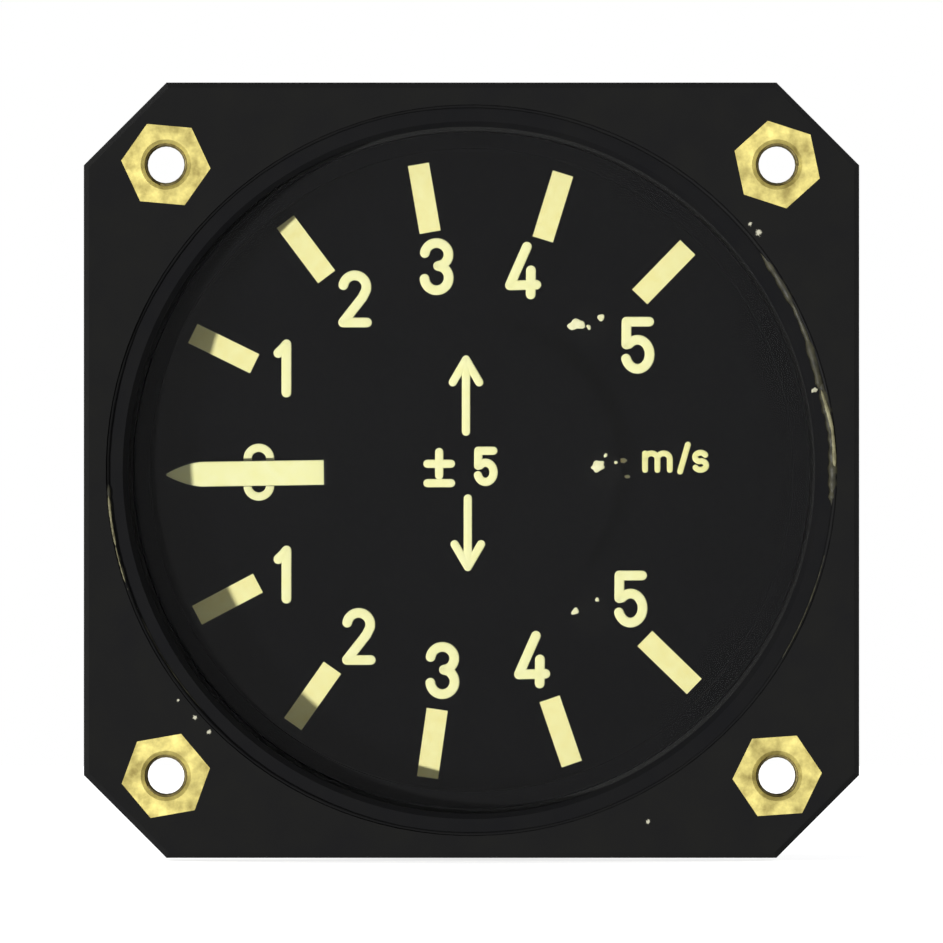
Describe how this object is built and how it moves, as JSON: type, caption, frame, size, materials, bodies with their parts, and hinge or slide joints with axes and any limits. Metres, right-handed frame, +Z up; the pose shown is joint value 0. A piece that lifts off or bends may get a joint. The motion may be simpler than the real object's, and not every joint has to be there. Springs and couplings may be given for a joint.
{
  "type": "glider variometer",
  "caption": "Round panel variometer in a square flange with cut corners: vane chamber, sprung pointer on a plus or minus 5 m/s dial, hose nipples at the rear.",
  "frame": {"origin": "centre of the flange's front face, which lies against the rear of the instrument panel; it is also the centre of the four panel screws", "axes": "-Y is out of the dial towards the pilot, +X is right as the pilot sees it, +Z is up, +Y runs back along the barrel"},
  "size_m": [0.06, 0.0762, 0.06],
  "materials": {
    "phenolic": "satin black moulded phenolic",
    "insert_brass": "machined brass",
    "black_ring": "satin black anodised ring",
    "clear_glass": "clear flat glass",
    "seal_rubber": "black rubber",
    "dial_black": "matte black painted aluminium",
    "lume": "cream luminous paint",
    "dark_steel": "blackened steel",
    "pointer_metal": "thin sheet, luminous paint on the outer part, black inside",
    "brass": "turned brass",
    "steel": "bright steel",
    "ruby": "polished synthetic ruby",
    "aluminium": "machined aluminium",
    "hose_rubber": "red-brown rubber hose",
    "spring_bronze": "bronze strip",
    "nipple_brass": "turned brass"
  },
  "bodies": {
    "case": {"case": "phenolic", "flange_inserts": "insert_brass", "retaining_ring": "black_ring", "front_glass": "clear_glass", "glass_seal": "seal_rubber", "spacer_ring": "black_ring", "dial_plate": "dial_black", "scale_marks": "lume", "dial_screws": "dark_steel", "dial_pillars": "brass", "hub_cover": "dial_black", "hub_cover_post": "brass", "hub_cover_screw": "dark_steel", "front_bearing": "brass", "front_jewel": "ruby", "chamber_cover": "aluminium", "chamber_body": "aluminium", "main_plate": "aluminium", "chamber_screws": "steel", "plate_screws": "steel", "partition": "aluminium", "partition_screws": "steel", "stop_pins": "steel", "stop_buffers": "seal_rubber", "chamber_port": "brass", "capacity_hose": "hose_rubber", "regulator_clip": "steel", "bridge": "brass", "bridge_posts": "brass", "bridge_screws": "steel", "jewel_screw": "steel", "jewel_nut": "brass", "rear_jewel": "ruby", "zero_seal": "seal_rubber", "rear_cover": "phenolic", "cover_seal": "seal_rubber", "cover_screws": "steel", "static_nipple": "nipple_brass", "capacity_nipple": "nipple_brass", "nipple_washers": "seal_rubber"},
    "movement": {"shaft": "steel", "pointer": "pointer_metal", "pointer_hub": "brass", "vane": "aluminium", "vane_hub": "aluminium", "balance_arm": "brass", "balance_weight": "brass", "spring_collet": "brass", "hairspring": "spring_bronze"},
    "regulator": {"regulator_arm": "brass", "spring_stud": "brass"},
    "zero_adjuster": {"zero_screw": "brass", "zero_pinion": "brass", "zero_clip": "steel"}
  },
  "joints": [
    {"name": "pointer_swing", "type": "hinge", "parent": "case", "child": "movement", "pos_m": [0, 0.0075, 0], "axis": [0, 1, 0], "range_deg": [-140, 140], "stiffness_Nm_per_rad": 0.0001, "deforming": ["hairspring"]},
    {"name": "regulator_turn", "type": "hinge", "parent": "case", "child": "regulator", "pos_m": [0, 0.0429, 0], "axis": [0, 1, 0], "range_deg": [-10, 10]},
    {"name": "zero_adjust", "type": "hinge", "parent": "case", "child": "zero_adjuster", "pos_m": [0, 0.0429, 0.012], "axis": [0, 1, 0], "range_deg": [-30, 30]}
  ],
  "couplings": [
    {"joint": "zero_adjust", "follows": "regulator_turn", "ratio": -3}
  ]
}
